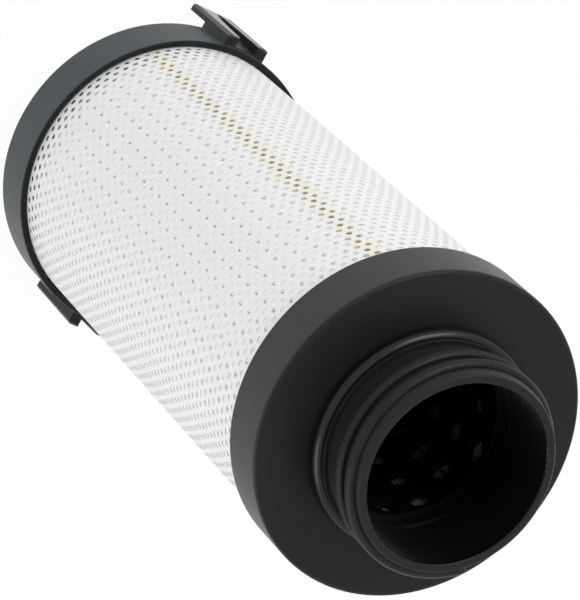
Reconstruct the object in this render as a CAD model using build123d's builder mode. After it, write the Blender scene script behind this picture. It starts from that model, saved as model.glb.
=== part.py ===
from build123d import *
from math import atan2, cos, degrees, floor, hypot, pi, radians, sin
import os

# A hydraulic return-line filter element, in millimetres.
# The axis is Z. The feet of the two claws stand on z = 0 and the open neck points up.
# Azimuths are degrees about Z from +X, where the first claw is.

# Closed cap
claw_drop = 12.1
cap_radius = 48.5
cap_wall = 2.0
closed_plate = 3.0
closed_skirt_height = 16.9
cap_edge_round = 1.1
rim_round = 0.35

# Claws
claw_count = 2
claw_width = 15.2
claw_leg_gap = 1.2
claw_leg_thickness = 2.4
claw_corner_round = 0.9
claw_foot_round = 0.5
claw_root_depth = 1.0
channel_start = 0.9
channel_foot_depth = 0.3
channel_floor_stand_off = 0.5
channel_right = 3.8
channel_right_foot = 2.8
channel_left = 3.5
channel_left_foot = -1.2
channel_bend_left = 1.4
channel_bend_height = 7.5

# Neck cap
element_length = 197.4
neck_plate = 4.0
neck_skirt_height = 16.5
bore_radius = 26.4
plate_bore_stand_off = 0.7
plate_bore_reach = 1.0
seal_groove_radius = 28.6
seal_groove_height = 4.2
collar_radius = 30.6
collar_height = 1.2
neck_root_radius = 29.5
lip_radius = 28.9
lip_taper_height = 2.6
lip_round = 0.6
neck_height = 23.6

# Thread: one round bead wound right-handed round the neck
thread_pitch = 6.0
thread_turns = 2
thread_crest_radius = 31.4
thread_bead_radius = 1.5
thread_start_azimuth = 216.3
thread_start_above_face = 9.92

# Potting, pleats, core and wrap
potting_depth = 3.0
potting_fit = 0.1
wrap_fit = 0.3
wrap_wall = 0.6
core_wall = 1.8
core_inner_radius = 25.2
core_hole_radius = 3.0
core_columns = 15
core_column_azimuth = 222.6
core_row_pitch = 12.9
core_first_row_below_face = 9.0
core_end_band = 4.0

pleat_root_pitch = 3.15
pleat_core_fit = 0.3
support_mesh_thickness = 0.35
medium_thickness = 0.45
pleat_tip_width = 1.7
pleat_root_width = 1.6

seam_thickness = 0.5
seam_width = 5.0
seam_azimuth = 36.9
seam_fit = 0.1

# Seal ring
seal_section = 4.2

# Heights and radii that follow
back_z = claw_drop
closed_rim_z = back_z + closed_skirt_height
face_z = back_z + element_length
neck_rim_z = face_z - neck_skirt_height
tip_z = face_z + neck_height
plate_top_z = back_z + closed_plate
plate_under_z = face_z - neck_plate
pack_bottom_z = plate_top_z + potting_depth
pack_top_z = plate_under_z - potting_depth
pack_height = pack_top_z - pack_bottom_z
skirt_inner = cap_radius - cap_wall
wrap_outer = skirt_inner - wrap_fit
wrap_inner = wrap_outer - wrap_wall
core_outer = core_inner_radius + core_wall
plate_bore_radius = core_inner_radius + plate_bore_stand_off
collar_z = face_z + seal_groove_height
claw_leg_inner = cap_radius + claw_leg_gap
claw_outer = claw_leg_inner + claw_leg_thickness
channel_foot_floor = claw_outer - channel_foot_depth
channel_drop = channel_foot_floor - cap_radius - channel_floor_stand_off
channel_length = hypot(closed_rim_z - channel_start, channel_drop)
channel_lean = degrees(atan2(channel_drop, closed_rim_z - channel_start))


def facing_plane(turn: float, radius: float, height: float = 0.0, lean: float = 0.0) -> Plane:
    """Plane facing outwards at one azimuth: local x runs round the element and local y up.

    A lean in degrees tips the plane's upper side towards the axis.
    """
    outwards = Vector(cos(radians(turn)), sin(radians(turn)), 0)
    around = Vector(-sin(radians(turn)), cos(radians(turn)), 0)
    upwards = Vector(0, 0, 1)
    facing = outwards * cos(radians(lean)) + upwards * sin(radians(lean))
    return Plane(origin=outwards * radius + upwards * height, x_dir=around, z_dir=facing)


claw_turns = [360.0 / claw_count * number for number in range(claw_count)]


# Closed cap: a moulded cup with two claws that reach past its back face
with BuildPart() as closed_cap:
    with BuildSketch(Plane.XZ):
        Polygon(
            (0, back_z),
            (cap_radius, back_z),
            (cap_radius, closed_rim_z),
            (skirt_inner, closed_rim_z),
            (skirt_inner, plate_top_z),
            (0, plate_top_z),
            align=None,
        )
    revolve(axis=Axis.Z)
    back_edge = closed_cap.edges().filter_by(GeomType.CIRCLE).group_by(Axis.Z)[0]
    fillet(back_edge, cap_edge_round)
    rim_edges = closed_cap.edges().filter_by(GeomType.CIRCLE).group_by(Axis.Z)[-1]
    fillet(rim_edges, rim_round)
    with BuildSketch(*(facing_plane(turn, claw_leg_inner) for turn in claw_turns)):
        Rectangle(claw_width, closed_rim_z, align=(Align.CENTER, Align.MIN))
    extrude(amount=claw_outer - claw_leg_inner)
    with BuildSketch(*(facing_plane(turn, cap_radius - claw_root_depth) for turn in claw_turns)):
        with Locations((0, back_z)):
            Rectangle(claw_width, closed_skirt_height, align=(Align.CENTER, Align.MIN))
    extrude(amount=claw_leg_inner - cap_radius + claw_root_depth)
    claw_corners = (
        closed_cap.edges()
        .filter_by(Axis.Z)
        .filter_by(lambda edge: abs(edge.center().X) > claw_leg_inner)
    )
    fillet(claw_corners, claw_corner_round)
    foot_edges = (
        closed_cap.edges()
        .filter_by_position(Axis.Z, 0, 0)
        .filter_by(lambda edge: abs(edge.center().X) > (claw_leg_inner + claw_outer) / 2)
    )
    fillet(foot_edges.filter_by(Axis.Y), claw_foot_round)
    channel_planes = [
        facing_plane(turn, channel_foot_floor, channel_start, channel_lean) for turn in claw_turns
    ]
    with BuildSketch(*channel_planes):
        Polygon(
            (-channel_right_foot, 0),
            (channel_left_foot, 0),
            (channel_bend_left, channel_bend_height),
            (channel_left, channel_length),
            (-channel_right, channel_length),
            align=None,
        )
    extrude(amount=channel_drop + claw_leg_thickness, mode=Mode.SUBTRACT)
closed_cap.part.label = "closed_cap"


# Neck cap: plate, skirt, groove for the seal ring, collar and threaded neck
with BuildPart() as neck_cap:
    with BuildSketch(Plane.XZ):
        Polygon(
            (plate_bore_radius, plate_under_z),
            (skirt_inner, plate_under_z),
            (skirt_inner, neck_rim_z),
            (cap_radius, neck_rim_z),
            (cap_radius, face_z),
            (seal_groove_radius, face_z),
            (seal_groove_radius, collar_z),
            (collar_radius, collar_z),
            (collar_radius, collar_z + collar_height),
            (neck_root_radius, collar_z + collar_height),
            (neck_root_radius, tip_z - lip_taper_height),
            (lip_radius, tip_z),
            (bore_radius, tip_z),
            (bore_radius, face_z + plate_bore_reach),
            (plate_bore_radius, face_z + plate_bore_reach),
            align=None,
        )
    revolve(axis=Axis.Z)
    rings = neck_cap.edges().filter_by(GeomType.CIRCLE)
    fillet(rings.group_by(Axis.Z)[-1], lip_round)
    face_edge = rings.filter_by_position(Axis.Z, face_z, face_z).sort_by(SortBy.RADIUS)[-1]
    fillet(face_edge, cap_edge_round)
    fillet(rings.group_by(Axis.Z)[0], rim_round)
    bead_centre_radius = thread_crest_radius - thread_bead_radius
    with BuildLine(Plane.XY.offset(face_z + thread_start_above_face)):
        bead_path = Helix(thread_pitch, thread_pitch * thread_turns, bead_centre_radius)
    with BuildSketch(Plane(origin=bead_path @ 0, z_dir=bead_path % 0)):
        Circle(thread_bead_radius)
    sweep(path=bead_path, is_frenet=True)
    with Locations(bead_path @ 0, bead_path @ 1):
        Sphere(thread_bead_radius)
neck_cap.part = neck_cap.part.rotate(Axis.Z, thread_start_azimuth)
neck_cap.part.label = "neck_cap"


# Seal ring in the groove at the foot of the neck
with BuildPart() as seal_ring:
    with BuildSketch(Plane.XZ):
        with Locations((seal_groove_radius + seal_section / 2, face_z + seal_groove_height / 2)):
            Circle(seal_section / 2)
    revolve(axis=Axis.Z)
seal_ring.part.label = "seal_ring"


# Potting: a ring of set adhesive in each cap, on which the pack stands
with BuildPart() as closed_potting:
    with BuildSketch(Plane.XY.offset(plate_top_z)):
        Circle(skirt_inner - potting_fit)
        Circle(core_outer + potting_fit, mode=Mode.SUBTRACT)
    extrude(amount=potting_depth)
closed_potting.part.label = "closed_potting"

with BuildPart() as neck_potting:
    with BuildSketch(Plane.XY.offset(pack_top_z)):
        Circle(skirt_inner - potting_fit)
        Circle(core_outer + potting_fit, mode=Mode.SUBTRACT)
    extrude(amount=potting_depth)
neck_potting.part.label = "neck_potting"


# Centre core: a pierced tube between the two plates
with BuildPart() as centre_core:
    with BuildSketch(Plane.XY.offset(plate_top_z)):
        Circle(core_outer)
        Circle(core_inner_radius, mode=Mode.SUBTRACT)
    extrude(amount=plate_under_z - plate_top_z)
    hole_places = []
    for column in range(core_columns):
        azimuth = core_column_azimuth + 360.0 / core_columns * column
        stagger = core_row_pitch / 2 if column % 2 else 0.0
        height = face_z - core_first_row_below_face - stagger
        while height - core_hole_radius > plate_top_z + core_end_band:
            wall_plane = facing_plane(azimuth, core_inner_radius + core_wall / 2)
            hole_places.append(Location((0, 0, height)) * wall_plane.location)
            height -= core_row_pitch
    with Locations(*hole_places):
        Cylinder(core_hole_radius, 3 * core_wall, mode=Mode.SUBTRACT)
centre_core.part.label = "centre_core"


# Pleated pack: three plies folded together into a star round the core
pleat_thickness = 2 * support_mesh_thickness + medium_thickness
pleat_inner = core_outer + pleat_core_fit + pleat_thickness / 2
pleat_count = floor(2 * pi * (core_outer + pleat_core_fit) / pleat_root_pitch)
pleat_outer = wrap_inner - 2 * seam_fit - seam_thickness - pleat_thickness / 2
pleat_pitch = 360.0 / pleat_count


def fold_outline(shift: float) -> list[tuple[float, float]]:
    """Points of the folded sheet's line, moved outwards by shift from the sheet's middle."""
    points = []
    for pleat in range(pleat_count):
        middle = radians(pleat_pitch * pleat)
        valley = middle + radians(pleat_pitch / 2)
        tip_radius = pleat_outer + shift
        root_radius = pleat_inner + shift
        tip_half = (pleat_tip_width / 2 + shift) / tip_radius
        root_half = (pleat_root_width / 2 - shift) / root_radius
        points.append((tip_radius * cos(middle - tip_half), tip_radius * sin(middle - tip_half)))
        points.append((tip_radius * cos(middle + tip_half), tip_radius * sin(middle + tip_half)))
        points.append((root_radius * cos(valley - root_half), root_radius * sin(valley - root_half)))
        points.append((root_radius * cos(valley + root_half), root_radius * sin(valley + root_half)))
    return points


inner_face = -pleat_thickness / 2
medium_inner_face = inner_face + support_mesh_thickness
medium_outer_face = medium_inner_face + medium_thickness
outer_face = medium_outer_face + support_mesh_thickness

with BuildPart() as upstream_mesh:
    with BuildSketch(Plane.XY.offset(pack_bottom_z)):
        Polygon(*fold_outline(outer_face), align=None)
        Polygon(*fold_outline(medium_outer_face), align=None, mode=Mode.SUBTRACT)
    extrude(amount=pack_height)
upstream_mesh.part.label = "upstream_mesh"

with BuildPart() as filter_medium:
    with BuildSketch(Plane.XY.offset(pack_bottom_z)):
        Polygon(*fold_outline(medium_outer_face), align=None)
        Polygon(*fold_outline(medium_inner_face), align=None, mode=Mode.SUBTRACT)
    extrude(amount=pack_height)
filter_medium.part.label = "filter_medium"

with BuildPart() as downstream_mesh:
    with BuildSketch(Plane.XY.offset(pack_bottom_z)):
        Polygon(*fold_outline(medium_inner_face), align=None)
        Polygon(*fold_outline(inner_face), align=None, mode=Mode.SUBTRACT)
    extrude(amount=pack_height)
downstream_mesh.part.label = "downstream_mesh"


# Seam adhesive: an amber strip along the pack, just under the wrap
with BuildPart() as seam_adhesive:
    seam_outer = wrap_inner - seam_fit
    seam_arc = seam_width / seam_outer * 180.0 / pi
    with BuildSketch(Plane.XZ):
        with Locations((seam_outer - seam_thickness / 2, pack_bottom_z)):
            Rectangle(seam_thickness, pack_height, align=(Align.CENTER, Align.MIN))
    revolve(axis=Axis.Z, revolution_arc=seam_arc)
    seam_turn = seam_azimuth - seam_arc / 2
seam_adhesive.part = seam_adhesive.part.rotate(Axis.Z, seam_turn)
seam_adhesive.part.label = "seam_adhesive"


# Outer wrap: the protective sleeve between the caps
with BuildPart() as outer_wrap:
    with BuildSketch(Plane.XY.offset(pack_bottom_z)):
        Circle(wrap_outer)
        Circle(wrap_inner, mode=Mode.SUBTRACT)
    extrude(amount=pack_height)
outer_wrap.part.label = "outer_wrap"


os.makedirs("parts", exist_ok=True)
export_step(closed_cap.part, "parts/closed_cap.step")
export_step(neck_cap.part, "parts/neck_cap.step")
export_step(seal_ring.part, "parts/seal_ring.step")
export_step(closed_potting.part, "parts/closed_potting.step")
export_step(neck_potting.part, "parts/neck_potting.step")
export_step(centre_core.part, "parts/centre_core.step")
export_step(upstream_mesh.part, "parts/upstream_mesh.step")
export_step(filter_medium.part, "parts/filter_medium.step")
export_step(downstream_mesh.part, "parts/downstream_mesh.step")
export_step(seam_adhesive.part, "parts/seam_adhesive.step")
export_step(outer_wrap.part, "parts/outer_wrap.step")
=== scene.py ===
"""Dresses a hydraulic return-line filter element and sets up its studio.

Lengths are in metres and azimuths in degrees from +X, unless a docstring says otherwise.
"""

import logging
from dataclasses import dataclass
from enum import Enum
from math import atan2, cos, pi, radians, sin

import bmesh
import bpy
from mathutils import Matrix, Vector


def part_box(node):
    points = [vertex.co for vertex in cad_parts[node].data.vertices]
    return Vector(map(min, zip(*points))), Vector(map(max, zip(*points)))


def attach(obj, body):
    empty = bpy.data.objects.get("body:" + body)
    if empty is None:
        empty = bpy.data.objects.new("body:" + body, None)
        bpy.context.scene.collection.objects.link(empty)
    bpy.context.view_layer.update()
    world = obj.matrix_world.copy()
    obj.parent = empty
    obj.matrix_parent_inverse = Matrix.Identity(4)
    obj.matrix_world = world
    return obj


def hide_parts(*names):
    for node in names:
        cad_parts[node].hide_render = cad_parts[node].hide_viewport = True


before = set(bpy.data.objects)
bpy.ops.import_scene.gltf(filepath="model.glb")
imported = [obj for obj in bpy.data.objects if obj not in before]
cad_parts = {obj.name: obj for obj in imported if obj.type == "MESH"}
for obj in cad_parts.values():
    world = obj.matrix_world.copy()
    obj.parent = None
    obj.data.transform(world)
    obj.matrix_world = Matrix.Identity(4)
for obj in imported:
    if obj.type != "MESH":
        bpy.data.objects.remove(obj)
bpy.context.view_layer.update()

MM = 0.001
CELL_POINTS = 12  # corners and edge middles of a honeycomb cell, and points of its hole
PATCH_LOW = 0.3  # patch value up to which a surface has its lower roughness
PATCH_HIGH = 0.7  # patch value from which it has its higher roughness
SPECK_RADIUS = 0.09  # of a speck of dust, against the pattern's cell
LOG = logging.getLogger("filter_element")

Colour = tuple[float, float, float]
Value = bpy.types.NodeSocket | float | tuple[float, ...]


class Slot(Enum):
    """The record's material slots that new pieces take."""

    WRAP = "white_wrap"
    MESH = "mesh_white"


class Effect(Enum):
    """Effects that the finishes share, each a shader group of this name."""

    GRAIN = "moulded_grain"
    SPECKS = "dust_specks"
    RING = "ring_zone"
    SECTOR = "seam_sector"


class Mixed(Enum):
    """What a mix node mixes."""

    COLOUR = "RGBA"
    NUMBER = "FLOAT"


class Ramp(Enum):
    """How a ramp goes from its first value to its last."""

    EVEN = "LINEAR"
    SOFT = "SMOOTHSTEP"


Groups = dict[Effect, bpy.types.NodeTree]


def node_box(name: str) -> tuple[Vector, Vector]:
    """Lowest and highest corner of a CAD node."""
    low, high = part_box(name)
    return Vector(low), Vector(high)


def ring_radius(name: str) -> float:
    """Outer radius of a round CAD node, read along Y."""
    low, high = node_box(name)
    return (high.y - low.y) / 2


def copy_round(sheet: bmesh.types.BMesh, angle: float, copies: int, weld: float, rise: float = 0.0) -> None:
    """Copies all that a sheet holds round the object's axis, and welds the copies to each other.

    Args:
        sheet: the sheet to repeat.
        angle: the angle from the sheet to its last copy, in radians.
        copies: how many copies to add.
        weld: points closer than this become one.
        rise: how far each copy lies above the one before it.
    """
    bmesh.ops.spin(
        sheet,
        geom=sheet.verts[:] + sheet.edges[:] + sheet.faces[:],
        cent=(0, 0, 0),
        axis=(0, 0, 1),
        dvec=(0, 0, rise),
        angle=angle,
        steps=copies,
        use_duplicate=True,
    )
    bmesh.ops.remove_doubles(sheet, verts=sheet.verts[:], dist=weld)


def face_outwards(sheet: bmesh.types.BMesh) -> None:
    """Turns an open sheet's faces so that its outermost one faces away from the object's axis.

    Args:
        sheet: the sheet, before it gets its thickness.
    """
    bmesh.ops.recalc_face_normals(sheet, faces=sheet.faces[:])
    outermost = max(sheet.faces, key=lambda face: face.calc_center_median().xy.length)
    if outermost.normal.dot(outermost.calc_center_median().xy.to_3d()) < 0:
        bmesh.ops.reverse_faces(sheet, faces=sheet.faces[:])


def make_piece(name: str, shape: bmesh.types.BMesh) -> bpy.types.Object:
    """Turns a modelled shape into a linked object at the origin.

    Args:
        name: the piece's name.
        shape: the modelled shape, freed here.

    Returns:
        The new object.
    """
    mesh = bpy.data.meshes.new(name)
    shape.to_mesh(mesh)
    shape.free()
    piece = bpy.data.objects.new(name, mesh)
    bpy.context.scene.collection.objects.link(piece)
    return piece


def dress(piece: bpy.types.Object, material: bpy.types.Material) -> None:
    """Gives a piece or a CAD node one material.

    Args:
        piece: the object to dress.
        material: its finish.
    """
    if piece.data.materials:
        for number in range(len(piece.data.materials)):
            piece.data.materials[number] = material
    else:
        piece.data.materials.append(material)


def add_node(tree: bpy.types.NodeTree, kind: str, **values: object) -> bpy.types.Node:
    """Adds a node to a tree.

    Args:
        tree: a material's or a group's tree.
        kind: the node's type name.
        values: properties to set on the node.

    Returns:
        The new node.
    """
    node = tree.nodes.new(kind)
    for name, value in values.items():
        setattr(node, name, value)
    return node


def feed(tree: bpy.types.NodeTree, value: Value, target: bpy.types.NodeSocket) -> None:
    """Feeds an input from another node or with a fixed value.

    Args:
        tree: the tree that holds the nodes.
        value: another node's output, a number or a list of numbers.
        target: the input.
    """
    if isinstance(value, bpy.types.NodeSocket):
        tree.links.new(value, target)
    else:
        target.default_value = value


def add_math(tree: bpy.types.NodeTree, operation: str, *terms: Value) -> bpy.types.NodeSocket:
    """Adds a calculation.

    Args:
        tree: the tree that holds it.
        operation: the calculation's type name.
        terms: its inputs in their order.

    Returns:
        The result.
    """
    node = add_node(tree, "ShaderNodeMath", operation=operation)
    for term, target in zip(terms, node.inputs):
        feed(tree, term, target)
    return node.outputs["Value"]


def add_mix(
    tree: bpy.types.NodeTree, mixed: Mixed, first: Value, second: Value, mask: bpy.types.NodeSocket
) -> bpy.types.NodeSocket:
    """Adds a mix of two colours or two numbers.

    Args:
        tree: the tree that holds it.
        mixed: colours or numbers.
        first: what shows where the mask is 0.
        second: what shows where the mask is 1.
        mask: the mask.

    Returns:
        The mixed colour or number.
    """
    node = add_node(tree, "ShaderNodeMix", data_type=mixed.value)
    feed(tree, first, node.inputs["A"])
    feed(tree, second, node.inputs["B"])
    feed(tree, mask, node.inputs["Factor"])
    return node.outputs["Result"]


def add_ramp(
    tree: bpy.types.NodeTree,
    ramp: Ramp,
    value: bpy.types.NodeSocket,
    span: tuple[Value, Value],
    ends: tuple[float, float] = (0.0, 1.0),
) -> bpy.types.NodeSocket:
    """Adds a ramp that turns one span of values into another and stays level past its ends.

    Args:
        tree: the tree that holds it.
        ramp: an even or a soft ramp.
        value: the value that runs along the ramp.
        span: where the ramp starts and stops.
        ends: the results there.

    Returns:
        The result.
    """
    node = add_node(tree, "ShaderNodeMapRange", interpolation_type=ramp.value)
    feed(tree, value, node.inputs["Value"])
    for name, limit in zip(("From Min", "From Max", "To Min", "To Max"), (*span, *ends)):
        feed(tree, limit, node.inputs[name])
    return node.outputs["Result"]


def add_noise(
    tree: bpy.types.NodeTree, place: Value, scale: Value, detail: float, roughness: float
) -> bpy.types.NodeSocket:
    """Adds a cloudy pattern.

    Args:
        tree: the tree that holds it.
        place: the coordinates.
        scale: the pattern's scale.
        detail: how many finer layers it has.
        roughness: how strong they are.

    Returns:
        The pattern's value.
    """
    node = add_node(tree, "ShaderNodeTexNoise")
    for name, value in (("Vector", place), ("Scale", scale), ("Detail", detail), ("Roughness", roughness)):
        feed(tree, value, node.inputs[name])
    return node.outputs["Fac"]


def drop_height(tree: bpy.types.NodeTree, place: bpy.types.NodeSocket) -> bpy.types.NodeSocket:
    """Adds the way from the object's axis to a place, at the place's own height.

    Args:
        tree: the tree that holds it.
        place: the coordinates.

    Returns:
        The flat vector.
    """
    node = add_node(tree, "ShaderNodeVectorMath", operation="MULTIPLY")
    feed(tree, place, node.inputs[0])
    feed(tree, (1.0, 1.0, 0.0), node.inputs[1])
    return node.outputs["Vector"]


def add_radius(tree: bpy.types.NodeTree, place: bpy.types.NodeSocket) -> bpy.types.NodeSocket:
    """Adds a place's distance from the object's axis.

    Args:
        tree: the tree that holds it.
        place: the coordinates.

    Returns:
        The distance.
    """
    node = add_node(tree, "ShaderNodeVectorMath", operation="LENGTH")
    feed(tree, drop_height(tree, place), node.inputs[0])
    return node.outputs["Value"]


def add_bump(
    tree: bpy.types.NodeTree,
    shader: bpy.types.Node,
    height: bpy.types.NodeSocket,
    strength: float,
    depth: float,
) -> None:
    """Adds a relief to a shader.

    Args:
        tree: the material's nodes.
        shader: the surface's own shader.
        height: the relief's pattern.
        strength: how strongly it shows.
        depth: how deep it is.
    """
    node = add_node(tree, "ShaderNodeBump")
    for name, value in (("Height", height), ("Strength", strength), ("Distance", depth)):
        feed(tree, value, node.inputs[name])
    feed(tree, node.outputs["Normal"], shader.inputs["Normal"])


def mix_surface(
    tree: bpy.types.NodeTree,
    share: bpy.types.NodeSocket,
    first: bpy.types.NodeSocket,
    second: bpy.types.NodeSocket,
) -> None:
    """Makes a material's surface of two shaders.

    Args:
        tree: the material's nodes.
        share: the second shader's share.
        first: the first shader.
        second: the second shader.
    """
    node = add_node(tree, "ShaderNodeMixShader")
    for source, target in zip((share, first, second), node.inputs):
        feed(tree, source, target)
    feed(tree, node.outputs["Shader"], tree.nodes["Material Output"].inputs["Surface"])


def let_light_through(tree: bpy.types.NodeTree, shader: bpy.types.Node, share: float) -> None:
    """Lets a share of the light pass a thin pale sheet, which itself stays opaque to the eye.

    Args:
        tree: the material's nodes.
        shader: the surface's own shader.
        share: how much of the light goes through.
    """
    path = add_node(tree, "ShaderNodeLightPath").outputs
    carries_light = add_math(tree, "MAXIMUM", path["Is Shadow Ray"], path["Is Diffuse Ray"])
    through = add_node(tree, "ShaderNodeBsdfTransparent")
    passed = add_math(tree, "MULTIPLY", carries_light, share)
    mix_surface(tree, passed, shader.outputs["BSDF"], through.outputs["BSDF"])


def seen_white(tree: bpy.types.NodeTree) -> bpy.types.NodeSocket:
    """Adds a mask of 1 for the rays that show the white background.

    Args:
        tree: the material's or the world's nodes.

    Returns:
        The mask.
    """
    path = add_node(tree, "ShaderNodeLightPath").outputs
    direct = add_math(tree, "MAXIMUM", path["Is Camera Ray"], path["Is Transmission Ray"])
    return add_math(tree, "MAXIMUM", direct, path["Is Glossy Ray"])


def start_material(name: str) -> tuple[bpy.types.Material, bpy.types.NodeTree, bpy.types.Node]:
    """Starts a material.

    Args:
        name: the material's name.

    Returns:
        The material, its nodes and its shader.
    """
    material = bpy.data.materials.new(name)
    material.use_nodes = True
    return material, material.node_tree, material.node_tree.nodes["Principled BSDF"]


def opaque(colour: Colour) -> tuple[float, float, float, float]:
    """A colour with its full alpha."""
    return (*colour, 1.0)


class ShaderGroup:
    """A node group under construction, with named inputs and outputs."""

    def __init__(self, effect: Effect, vectors: tuple[str, ...], numbers: tuple[str, ...]) -> None:
        """Starts a group with its inputs.

        Args:
            effect: the effect, which names the group.
            vectors: names of its vector inputs.
            numbers: names of its number inputs.
        """
        self.tree = bpy.data.node_groups.new(effect.value, "ShaderNodeTree")
        for kind, names in (("NodeSocketVector", vectors), ("NodeSocketFloat", numbers)):
            for name in names:
                self.tree.interface.new_socket(name, in_out="INPUT", socket_type=kind)
        self.given = self.tree.nodes.new("NodeGroupInput").outputs
        self.results = self.tree.nodes.new("NodeGroupOutput").inputs

    def put_out(self, name: str, result: bpy.types.NodeSocket) -> None:
        """Adds a named output and feeds it with a result."""
        self.tree.interface.new_socket(name, in_out="OUTPUT", socket_type="NodeSocketFloat")
        self.tree.links.new(result, self.results[name])


def build_grain_group() -> bpy.types.NodeTree:
    """Builds the moulded grain: a fine height and slow patches over the object's coordinates.

    Returns:
        The group's tree.
    """
    group = ShaderGroup(Effect.GRAIN, ("Vector",), ("Grain Scale", "Patch Scale"))
    tree, given = group.tree, group.given
    grain = add_noise(tree, given["Vector"], given["Grain Scale"], detail=3.0, roughness=0.5)
    patch = add_noise(tree, given["Vector"], given["Patch Scale"], detail=5.0, roughness=0.65)
    group.put_out("Height", grain)
    group.put_out("Patch", patch)
    return tree


def build_speck_group() -> bpy.types.NodeTree:
    """Builds a mask of small scattered specks of dust over the object's coordinates.

    Returns:
        The group's tree.
    """
    group = ShaderGroup(Effect.SPECKS, ("Vector",), ("Scale", "Amount"))
    tree, given = group.tree, group.given
    cells = add_node(tree, "ShaderNodeTexVoronoi")
    split = add_node(tree, "ShaderNodeSeparateColor")
    feed(tree, given["Vector"], cells.inputs["Vector"])
    feed(tree, given["Scale"], cells.inputs["Scale"])
    feed(tree, cells.outputs["Color"], split.inputs["Color"])
    near = add_math(tree, "LESS_THAN", cells.outputs["Distance"], SPECK_RADIUS)
    chosen = add_math(tree, "LESS_THAN", split.outputs["Red"], given["Amount"])
    group.put_out("Mask", add_math(tree, "MULTIPLY", near, chosen))
    return tree


def build_ring_group() -> bpy.types.NodeTree:
    """Builds a mask of the surfaces between two radii about the object's axis.

    Returns:
        The group's tree.
    """
    group = ShaderGroup(Effect.RING, ("Vector",), ("Inner", "Outer"))
    tree, given = group.tree, group.given
    radius = add_radius(tree, given["Vector"])
    beyond = add_math(tree, "GREATER_THAN", radius, given["Inner"])
    within = add_math(tree, "LESS_THAN", radius, given["Outer"])
    group.put_out("Mask", add_math(tree, "MULTIPLY", beyond, within))
    return tree


def build_sector_group() -> bpy.types.NodeTree:
    """Builds a soft mask of the surfaces near one direction from the object's axis.

    Returns:
        The group's tree.
    """
    group = ShaderGroup(Effect.SECTOR, ("Vector", "Direction"), ("Edge",))
    tree, given = group.tree, group.given
    outwards = add_node(tree, "ShaderNodeVectorMath", operation="NORMALIZE")
    near = add_node(tree, "ShaderNodeVectorMath", operation="DOT_PRODUCT")
    feed(tree, drop_height(tree, given["Vector"]), outwards.inputs[0])
    feed(tree, outwards.outputs["Vector"], near.inputs[0])
    feed(tree, given["Direction"], near.inputs[1])
    group.put_out("Mask", add_ramp(tree, Ramp.SOFT, near.outputs["Value"], (given["Edge"], 1.0)))
    return tree


def place_effect(
    tree: bpy.types.NodeTree,
    group: bpy.types.NodeTree,
    place: bpy.types.NodeSocket,
    values: dict[str, float | tuple[float, ...]],
) -> bpy.types.Node:
    """Places a shared effect in a material with the material's own values.

    Args:
        tree: the material's nodes.
        group: the effect's group.
        place: the object's coordinates.
        values: the effect's inputs by name.

    Returns:
        The effect's node.
    """
    node = add_node(tree, "ShaderNodeGroup", node_tree=group)
    for name, value in {"Vector": place, **values}.items():
        feed(tree, value, node.inputs[name])
    return node


@dataclass(frozen=True)
class PaintedLightRing:
    """A zone of a moulding between two radii, painted lighter as a highlight or darker as shade, with its
    own roughness.
    """

    inner: float
    outer: float
    colour: Colour
    roughness: float


@dataclass(frozen=True)
class SeamTint:
    """A warm tint along the seam, which fades out at its half width in degrees."""

    azimuth: float
    half_width: float
    colour: Colour
    strength: float


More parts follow.
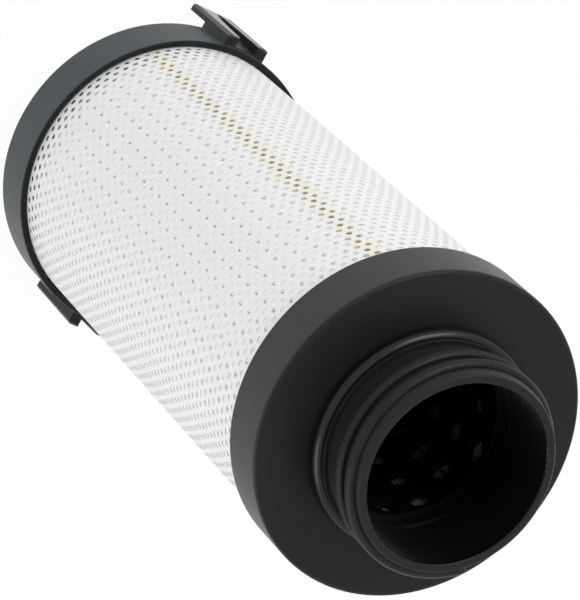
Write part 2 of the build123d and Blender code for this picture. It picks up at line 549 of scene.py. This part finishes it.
@dataclass(frozen=True)
class Moulding:
    """A moulded, cast or drawn surface: one colour with grain, slow patches and dust."""

    name: str
    colour: Colour
    patch_colour: Colour
    roughness: tuple[float, float]
    grain_scale: float = 2500.0
    grain_depth: float = 0.02 * MM
    grain_strength: float = 0.25
    patch_scale: float = 60.0
    dust_colour: Colour = (0.12, 0.12, 0.12)
    dust_scale: float = 420.0
    dust_amount: float = 0.02
    specular: float = 0.5
    sheen: float = 0.0
    sheen_roughness: float = 0.4
    see_through: float = 0.0
    painted_light_zones: tuple[PaintedLightRing, ...] = ()
    tint: SeamTint | None = None

    def build(self, groups: Groups) -> bpy.types.Material:
        """Makes the material.

        Args:
            groups: the shared effects' groups.

        Returns:
            The material.
        """
        material, tree, shader = start_material(self.name)
        shader.inputs["Specular IOR Level"].default_value = self.specular
        shader.inputs["Sheen Weight"].default_value = self.sheen
        shader.inputs["Sheen Roughness"].default_value = self.sheen_roughness
        place = add_node(tree, "ShaderNodeTexCoord").outputs["Object"]
        scales = {"Grain Scale": self.grain_scale, "Patch Scale": self.patch_scale}
        grain = place_effect(tree, groups[Effect.GRAIN], place, scales)
        patch = grain.outputs["Patch"]
        colour = self._dusty_colour(tree, groups[Effect.SPECKS], place, patch)
        roughness = add_ramp(tree, Ramp.EVEN, patch, (PATCH_LOW, PATCH_HIGH), self.roughness)
        # each ring lays a painted highlight or painted shade over the colour
        for zone in self.painted_light_zones:
            radii = {"Inner": zone.inner, "Outer": zone.outer}
            mask = place_effect(tree, groups[Effect.RING], place, radii).outputs["Mask"]
            colour = add_mix(tree, Mixed.COLOUR, colour, opaque(zone.colour), mask)
            roughness = add_mix(tree, Mixed.NUMBER, roughness, zone.roughness, mask)
        if self.tint:
            colour = self._tinted_colour(tree, groups[Effect.SECTOR], place, colour)
        feed(tree, colour, shader.inputs["Base Color"])
        feed(tree, roughness, shader.inputs["Roughness"])
        add_bump(tree, shader, grain.outputs["Height"], self.grain_strength, self.grain_depth)
        if self.see_through:
            let_light_through(tree, shader, self.see_through)
        return material

    def _dusty_colour(
        self,
        tree: bpy.types.NodeTree,
        specks: bpy.types.NodeTree,
        place: bpy.types.NodeSocket,
        patch: bpy.types.NodeSocket,
    ) -> bpy.types.NodeSocket:
        """Mixes the surface's two colours over its patches and lays the dust on them.

        Args:
            tree: the material's nodes.
            specks: the dust's group.
            place: the object's coordinates.
            patch: the slow patches.

        Returns:
            The colour.
        """
        dust = {"Scale": self.dust_scale, "Amount": self.dust_amount}
        mask = place_effect(tree, specks, place, dust).outputs["Mask"]
        unmarked = add_mix(tree, Mixed.COLOUR, opaque(self.colour), opaque(self.patch_colour), patch)
        return add_mix(tree, Mixed.COLOUR, unmarked, opaque(self.dust_colour), mask)

    def _tinted_colour(
        self,
        tree: bpy.types.NodeTree,
        sector: bpy.types.NodeTree,
        place: bpy.types.NodeSocket,
        colour: bpy.types.NodeSocket,
    ) -> bpy.types.NodeSocket:
        """Mixes the seam's tint into the colour.

        Args:
            tree: the material's nodes.
            sector: the seam's group.
            place: the object's coordinates.
            colour: the colour so far.

        Returns:
            The tinted colour.
        """
        angle = radians(self.tint.azimuth)
        edge = cos(radians(self.tint.half_width))
        seam = {"Direction": (cos(angle), sin(angle), 0.0), "Edge": edge}
        mask = place_effect(tree, sector, place, seam).outputs["Mask"]
        share = add_math(tree, "MULTIPLY", mask, self.tint.strength)
        return add_mix(tree, Mixed.COLOUR, colour, opaque(self.tint.colour), share)


@dataclass(frozen=True)
class ClosedCapShade:
    """Painted shade on the folds next to the closed cap, which fades out between two heights."""

    full_height: float
    faded_height: float
    colour: Colour


@dataclass(frozen=True)
class WovenMesh:
    """Support mesh of the pleated pack: crossed threads with gaps of another tone."""

    name: str
    thread: Colour
    gap: Colour
    fold_radius: float
    pitch: float = 0.7 * MM
    gap_level: float = -0.4
    thread_level: float = 0.8
    weave_strength: float = 0.6
    weave_depth: float = 0.1 * MM
    roughness: float = 0.55
    sheen: float = 0.0
    see_through: float = 0.0
    painted_shade: ClosedCapShade | None = None

    def build(self) -> bpy.types.Material:
        """Makes the material.

        Returns:
            The material.
        """
        material, tree, shader = start_material(self.name)
        shader.inputs["Roughness"].default_value = self.roughness
        shader.inputs["Sheen Weight"].default_value = self.sheen
        place = add_node(tree, "ShaderNodeTexCoord").outputs["Object"]
        split = add_node(tree, "ShaderNodeSeparateXYZ")
        feed(tree, place, split.inputs["Vector"])
        height = split.outputs["Z"]
        weave = self._weave(tree, place, split.outputs)
        colour = add_mix(tree, Mixed.COLOUR, opaque(self.gap), opaque(self.thread), weave)
        # painted shade: the folds darken towards the closed cap
        if self.painted_shade:
            shade_span = (self.painted_shade.full_height, self.painted_shade.faded_height)
            unmarked = add_ramp(tree, Ramp.SOFT, height, shade_span)
            colour = add_mix(tree, Mixed.COLOUR, opaque(self.painted_shade.colour), colour, unmarked)
        feed(tree, colour, shader.inputs["Base Color"])
        add_bump(tree, shader, weave, self.weave_strength, self.weave_depth)
        if self.see_through:
            let_light_through(tree, shader, self.see_through)
        return material

    def _weave(
        self,
        tree: bpy.types.NodeTree,
        place: bpy.types.NodeSocket,
        axes: bpy.types.bpy_prop_collection,
    ) -> bpy.types.NodeSocket:
        """Crosses threads that run up the folds with threads that run round them.

        Args:
            tree: the material's nodes.
            place: the object's coordinates.
            axes: the same coordinates one by one.

        Returns:
            A pattern of 1 on the threads and 0 in the gaps.
        """
        turn = add_math(tree, "ARCTAN2", axes["Y"], axes["X"])
        along = add_math(tree, "MULTIPLY_ADD", turn, self.fold_radius, add_radius(tree, place))
        waves = [
            add_math(tree, "SINE", add_math(tree, "MULTIPLY", way, 2 * pi / self.pitch))
            for way in (axes["Z"], along)
        ]
        crossed = add_math(tree, "MAXIMUM", *waves)
        return add_ramp(tree, Ramp.EVEN, crossed, (self.gap_level, self.thread_level))


NECK_CAP_MOULDING = Moulding(
    "neck_cap_moulding",
    colour=(0.0085, 0.009, 0.0098),
    patch_colour=(0.0115, 0.0122, 0.0132),
    roughness=(0.36, 0.44),
    dust_amount=0.004,
    specular=0.18,
    sheen=0.07,
    painted_light_zones=(
        # painted highlight: the skirt's ring is lighter in place of its grazing reflection
        PaintedLightRing(inner=48.3 * MM, outer=48.8 * MM, colour=(0.028, 0.0295, 0.031), roughness=0.42),
        # painted shade: the bore is near black in place of the shade inside it
        PaintedLightRing(inner=0.0, outer=26.6 * MM, colour=(0.0012, 0.0012, 0.0013), roughness=0.12),
    ),
)
CLOSED_CAP_MOULDING = Moulding(
    "closed_cap_moulding",
    colour=(0.0095, 0.0103, 0.0112),
    patch_colour=(0.013, 0.0141, 0.0153),
    roughness=(0.36, 0.44),
    dust_amount=0.004,
    specular=0.18,
    sheen=0.07,
    painted_light_zones=(
        # painted highlight: the skirt's ring is lighter in place of its grazing reflection
        PaintedLightRing(inner=48.3 * MM, outer=48.8 * MM, colour=(0.044, 0.053, 0.057), roughness=0.42),
        # painted highlight: the claws' outer faces are lighter in place of their grazing reflection
        PaintedLightRing(inner=51.8 * MM, outer=52.4 * MM, colour=(0.09, 0.094, 0.098), roughness=0.2),
    ),
)
SEAL_RUBBER = Moulding(
    "seal_rubber",
    colour=(0.004, 0.004, 0.0045),
    patch_colour=(0.006, 0.006, 0.0065),
    roughness=(0.2, 0.28),
    grain_strength=0.1,
    dust_amount=0.0,
    specular=0.3,
)
CORE_MOULDING = Moulding(
    "core_moulding",
    colour=(0.002, 0.002, 0.0022),
    patch_colour=(0.003, 0.003, 0.0033),
    roughness=(0.4, 0.5),
    specular=0.15,
)
WRAP_FILM = Moulding(
    "wrap_film",
    colour=(0.805, 0.822, 0.814),
    patch_colour=(0.825, 0.842, 0.834),
    roughness=(0.4, 0.52),
    grain_strength=0.15,
    dust_amount=0.0,
    specular=0.3,
    sheen=0.25,
    see_through=0.97,
    tint=SeamTint(azimuth=37.2, half_width=5.5, colour=(0.72, 0.62, 0.42), strength=0.17),
)
AMBER_ADHESIVE = Moulding(
    "amber_adhesive",
    colour=(0.72, 0.67, 0.55),
    patch_colour=(0.6, 0.53, 0.4),
    roughness=(0.25, 0.45),
    patch_scale=150.0,
    dust_amount=0.0,
    tint=SeamTint(azimuth=37.05, half_width=3.1, colour=(0.31, 0.19, 0.052), strength=0.95),
)
SET_POTTING = Moulding(
    "set_potting",
    colour=(0.42, 0.38, 0.28),
    patch_colour=(0.35, 0.31, 0.22),
    roughness=(0.35, 0.5),
    dust_amount=0.0,
)
GLASS_FIBRE = Moulding(
    "glass_fibre",
    colour=(0.86, 0.86, 0.84),
    patch_colour=(0.9, 0.9, 0.88),
    roughness=(0.8, 0.95),
    grain_strength=0.6,
    dust_amount=0.0,
)
SUPPORT_MESH = WovenMesh(
    "support_mesh",
    thread=(0.86, 0.87, 0.86),
    gap=(0.76, 0.77, 0.76),
    fold_radius=45 * MM,
    sheen=0.8,
    see_through=0.97,
    # painted shade on the folds next to the closed cap
    painted_shade=ClosedCapShade(full_height=28.5 * MM, faded_height=37.5 * MM, colour=(0.03, 0.03, 0.03)),
)
# the wire is dark of its own; its tones darkened further and its near-black gaps are painted shade inside
# the core
INNER_MESH = WovenMesh(
    "inner_mesh",
    thread=(0.22, 0.225, 0.21),
    gap=(0.015, 0.015, 0.015),
    fold_radius=27 * MM,
    pitch=1.1 * MM,
)


@dataclass
class PerforatedWrap:
    """The white sleeve: a thin film with round holes on a honeycomb, in three bands."""

    holes_round: int = 85
    row_pitch: float = 2.925 * MM
    hole_radius: float = 0.95 * MM
    thickness: float = 0.25 * MM
    first_hole_azimuth: float = 21.154
    first_hole_height: float = 208.54 * MM
    bands: int = 3
    weld: float = 0.01 * MM

    @property
    def stagger(self) -> float:
        """Angle that each row is turned against the one below it, in radians."""
        return pi / self.holes_round

    def build(self, material: bpy.types.Material) -> list[bpy.types.Object]:
        """Builds the sleeve's bands.

        Args:
            material: the film's finish.

        Returns:
            The band objects.
        """
        low, high = node_box("outer_wrap")
        radius = ring_radius("outer_wrap")
        row_count = int((high.z - low.z) / self.row_pitch)
        lowest = low.z + (self.first_hole_height - low.z) % self.row_pitch
        rows_below_first = round((self.first_hole_height - lowest) / self.row_pitch)
        start = radians(self.first_hole_azimuth) - self.stagger * rows_below_first
        made = []
        done = 0
        for band in range(self.bands):
            rows = row_count * (band + 1) // self.bands - done
            height = lowest + done * self.row_pitch
            azimuth = start + done * self.stagger
            made.append(self._band(band, rows, radius, height, azimuth, material))
            done += rows
        return made

    def _band(
        self,
        band: int,
        rows: int,
        radius: float,
        height: float,
        azimuth: float,
        material: bpy.types.Material,
    ) -> bpy.types.Object:
        """Builds one band of rows.

        Args:
            band: number of the band from below.
            rows: how many rows of holes it has.
            radius: the sleeve's outer radius.
            height: height of the lowest row.
            azimuth: azimuth of a hole in the lowest row, in radians.
            material: the film's finish.

        Returns:
            The band's object.
        """
        film = self._tile(radius, height, azimuth)
        row_angle = 2 * pi * (self.holes_round - 1) / self.holes_round
        copy_round(film, row_angle, self.holes_round - 1, self.weld)
        copy_round(film, self.stagger * (rows - 1), rows - 1, self.weld, rise=self.row_pitch)
        face_outwards(film)
        bmesh.ops.solidify(film, geom=film.faces[:], thickness=self.thickness)
        piece = make_piece(f"wrap_band_{band + 1}", film)
        dress(piece, material)
        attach(piece, "root")
        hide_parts("outer_wrap")
        return piece

    def _tile(self, radius: float, height: float, azimuth: float) -> bmesh.types.BMesh:
        """Models one honeycomb cell with a round hole, bent onto the sleeve.

        Args:
            radius: the sleeve's outer radius.
            height: height of the cell's centre.
            azimuth: azimuth of the cell's centre, in radians.

        Returns:
            A bmesh that holds the cell's open ring of faces.
        """
        tile = bmesh.new()
        hole = bmesh.ops.create_circle(tile, segments=CELL_POINTS, radius=self.hole_radius)
        edges = list({edge for vert in hole["verts"] for edge in vert.link_edges})
        grown = bmesh.ops.extrude_edge_only(tile, edges=edges)
        rim = [item for item in grown["geom"] if isinstance(item, bmesh.types.BMVert)]
        outline = self._cell_outline(2 * pi * radius / self.holes_round)
        for vert in rim:
            number = round(atan2(vert.co.y, vert.co.x) / (2 * pi / CELL_POINTS)) % CELL_POINTS
            vert.co.x, vert.co.y = outline[number]
        for vert in tile.verts:
            angle = azimuth + vert.co.x / radius
            vert.co = Vector((radius * cos(angle), radius * sin(angle), height + vert.co.y))
        return tile

    def _cell_outline(self, spacing: float) -> list[tuple[float, float]]:
        """Corners and edge middles of the flat honeycomb cell, every 30 degrees from the right.

        Args:
            spacing: distance between neighbouring holes in a row.

        Returns:
            Twelve points about the cell's centre.
        """
        half = spacing / 2
        step = self.row_pitch / 3
        quarter = [(half, 0.0), (half, step), (half / 2, 1.5 * step), (0.0, 2 * step)]
        upper = quarter + [(-x, y) for x, y in reversed(quarter[:3])]
        return upper + [(x, -y) for x, y in reversed(upper[1:-1])]


@dataclass
class OuterFolds:
    """The pack's outer support mesh: deep folds whose round tips nearly touch under the sleeve.

    The tip's outline is a list of radii and half widths in millimetres.
    """

    folds: int = 54
    skin: float = 0.3 * MM
    weld: float = 0.02 * MM
    root_radius: float = 28.45 * MM
    root_half_width: float = 1.43 * MM
    tip_outline: tuple[tuple[float, float], ...] = (
        (39.5, 1.43),
        (41.4, 2.0),
        (42.6, 2.4),
        (43.4, 2.49),
        (44.1, 2.35),
        (44.6, 1.75),
        (44.82, 0.95),
        (44.9, 0.0),
    )

    def build(self, material: bpy.types.Material) -> bpy.types.Object:
        """Builds the folded mesh.

        Args:
            material: the mesh's finish.

        Returns:
            The mesh's object.
        """
        low, high = node_box("upstream_mesh")
        sheet = self._fold_line(low.z)
        full_angle = 2 * pi * (self.folds - 1) / self.folds
        copy_round(sheet, full_angle, self.folds - 1, self.weld)
        raised = bmesh.ops.extrude_edge_only(sheet, edges=sheet.edges[:])
        top = [item for item in raised["geom"] if isinstance(item, bmesh.types.BMVert)]
        bmesh.ops.translate(sheet, verts=top, vec=(0, 0, high.z - low.z))
        face_outwards(sheet)
        bmesh.ops.solidify(sheet, geom=sheet.faces[:], thickness=self.skin)
        piece = make_piece("outer_folds", sheet)
        dress(piece, material)
        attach(piece, "root")
        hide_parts("upstream_mesh")
        return piece

    def _fold_line(self, height: float) -> bmesh.types.BMesh:
        """Draws one fold's line from valley to valley, over its tip.

        Args:
            height: height of the line.

        Returns:
            A bmesh that holds the line's edges.
        """
        line = bmesh.new()
        valley = pi / self.folds
        points = [
            (self.root_radius * cos(valley), self.root_radius * sin(valley)),
            (self.root_radius, self.root_half_width),
            *((radius * MM, half * MM) for radius, half in self.tip_outline),
        ]
        verts = [bmesh.ops.create_vert(line, co=(x, y, height))["vert"][0] for x, y in points]
        for pair in zip(verts, verts[1:]):
            bmesh.ops.contextual_create(line, geom=list(pair))
        bmesh.ops.mirror(line, geom=line.verts[:] + line.edges[:], axis="Y", merge_dist=self.weld)
        return line


@dataclass
class CadPieces:
    """The CAD nodes that stay as they are, with the finish of each."""

    mouldings: tuple[tuple[str, Moulding], ...] = (
        ("closed_cap", CLOSED_CAP_MOULDING),
        ("neck_cap", NECK_CAP_MOULDING),
        ("seal_ring", SEAL_RUBBER),
        ("centre_core", CORE_MOULDING),
        ("seam_adhesive", AMBER_ADHESIVE),
        ("closed_potting", SET_POTTING),
        ("neck_potting", SET_POTTING),
        ("filter_medium", GLASS_FIBRE),
    )
    meshes: tuple[tuple[str, WovenMesh], ...] = (("downstream_mesh", INNER_MESH),)

    def dress_all(self, groups: Groups) -> list[bpy.types.Object]:
        """Builds each finish once and gives it to its nodes.

        Args:
            groups: the shared effects' groups.

        Returns:
            The dressed nodes.
        """
        finishes = dict.fromkeys(finish for _, finish in self.mouldings)
        built = {finish: finish.build(groups) for finish in finishes}
        built |= {finish: finish.build() for _, finish in self.meshes}
        nodes = []
        for name, finish in self.mouldings + self.meshes:
            nodes.append(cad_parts[name])
            dress(nodes[-1], built[finish])
        return nodes


@dataclass(frozen=True)
class Softbox:
    """One soft lamp of the studio, which faces a point on the object's axis."""

    name: str
    azimuth: float
    elevation: float
    power: float
    distance: float = 1.6
    size: float = 0.9
    target_height: float = 120 * MM

    def hang(self) -> None:
        """Hangs the lamp."""
        data = bpy.data.lights.new(self.name, "AREA")
        data.shape = "SQUARE"
        data.size = self.size
        data.energy = self.power
        lamp = bpy.data.objects.new(self.name, data)
        angle = radians(self.azimuth)
        rise = radians(self.elevation)
        direction = Vector((cos(rise) * cos(angle), cos(rise) * sin(angle), sin(rise)))
        lamp.location = direction * self.distance + Vector((0, 0, self.target_height))
        lamp.rotation_euler = direction.to_track_quat("Z", "Y").to_euler()
        bpy.context.scene.collection.objects.link(lamp)


@dataclass
class Studio:
    """Pale floor, soft lights and the camera at the photograph's angle.

    The surround's light falls off between two heights on a sphere of radius 1.
    """

    camera_azimuth: float = 72.2917
    camera_elevation: float = 55.5074
    camera_roll: float = 134.503
    camera_distance: float = 1023.88 * MM
    camera_aim: tuple[float, float, float] = (1.207 * MM, -2.146 * MM, 117.70 * MM)
    camera_reach: float = 20.0
    lens: float = 211.485
    sensor_width: float = 36.0
    floor_size: float = 6.0
    floor_tone: float = 0.96
    floor_roughness: float = 0.9
    floor_white_share: float = 0.96
    horizon_light: float = 0.95
    horizon_height: float = 0.2
    overhead_light: float = 0.45
    overhead_height: float = 0.75
    softboxes: tuple[Softbox, ...] = (
        Softbox("key_softbox", azimuth=0.0, elevation=46.0, power=10.5),
        Softbox("fill_softbox", azimuth=150.0, elevation=25.0, power=7.0),
    )

    def build(self) -> None:
        """Builds the whole studio."""
        bpy.context.scene.view_settings.view_transform = "Standard"
        self.build_camera()
        self.build_floor()
        self.build_world()
        for softbox in self.softboxes:
            softbox.hang()

    def build_camera(self) -> None:
        """Places the camera and makes it the scene's camera."""
        azimuth = radians(self.camera_azimuth)
        elevation = radians(self.camera_elevation)
        back = Vector((cos(elevation) * cos(azimuth), cos(elevation) * sin(azimuth), sin(elevation)))
        across = Vector((0, 0, 1)).cross(back).normalized()
        upright = back.cross(across)
        roll = Matrix.Rotation(radians(self.camera_roll), 3, back)
        turned = Matrix((roll @ across, roll @ upright, back)).transposed()
        data = bpy.data.cameras.new("studio_camera")
        data.lens = self.lens
        data.sensor_width = self.sensor_width
        data.sensor_fit = "AUTO"
        data.clip_end = self.camera_reach
        camera = bpy.data.objects.new("studio_camera", data)
        place = Vector(self.camera_aim) + back * self.camera_distance
        camera.matrix_world = Matrix.Translation(place) @ turned.to_4x4()
        bpy.context.scene.collection.objects.link(camera)
        bpy.context.scene.camera = camera

    def build_floor(self) -> None:
        """Lays the floor, which shows nearly white to the camera and keeps the shadow."""
        sheet = bmesh.new()
        bmesh.ops.create_grid(sheet, x_segments=1, y_segments=1, size=self.floor_size / 2)
        floor = make_piece("studio_floor", sheet)
        material, tree, shader = start_material("studio_floor")
        tone = self.floor_tone
        shader.inputs["Base Color"].default_value = opaque((tone, tone, tone))
        shader.inputs["Roughness"].default_value = self.floor_roughness
        glow = add_node(tree, "ShaderNodeEmission")
        share = add_math(tree, "MULTIPLY", seen_white(tree), self.floor_white_share)
        mix_surface(tree, share, shader.outputs["BSDF"], glow.outputs["Emission"])
        dress(floor, material)

    def build_world(self) -> None:
        """Makes a pale surround that is bright round the horizon and dim overhead."""
        world = bpy.data.worlds.new("studio_world")
        world.use_nodes = True
        tree = world.node_tree
        background = tree.nodes["Background"]
        background.inputs["Color"].default_value = opaque((1.0, 1.0, 1.0))
        place = add_node(tree, "ShaderNodeTexCoord")
        split = add_node(tree, "ShaderNodeSeparateXYZ")
        feed(tree, place.outputs["Generated"], split.inputs["Vector"])
        heights = (self.horizon_height, self.overhead_height)
        lights = (self.horizon_light, self.overhead_light)
        fall = add_ramp(tree, Ramp.SOFT, split.outputs["Z"], heights, lights)
        level = add_math(tree, "MAXIMUM", fall, seen_white(tree))
        feed(tree, level, background.inputs["Strength"])
        bpy.context.scene.world = world


def write_sizes() -> None:
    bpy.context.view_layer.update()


def main() -> None:
    """Builds the shared effects, the pieces and the studio."""
    logging.basicConfig(level=logging.INFO, format="%(name)s: %(message)s")
    groups = {
        Effect.GRAIN: build_grain_group(),
        Effect.SPECKS: build_speck_group(),
        Effect.RING: build_ring_group(),
        Effect.SECTOR: build_sector_group(),
    }
    pieces = CadPieces().dress_all(groups)
    pieces.append(OuterFolds().build(SUPPORT_MESH.build()))
    pieces.extend(PerforatedWrap().build(WRAP_FILM.build(groups)))
    Studio().build()
    write_sizes()
    for piece in pieces:
        finish = piece.data.materials[0].name
        LOG.info("%s: %s, %d faces", piece.name, finish, len(piece.data.polygons))


if __name__ == "__main__":
    main()
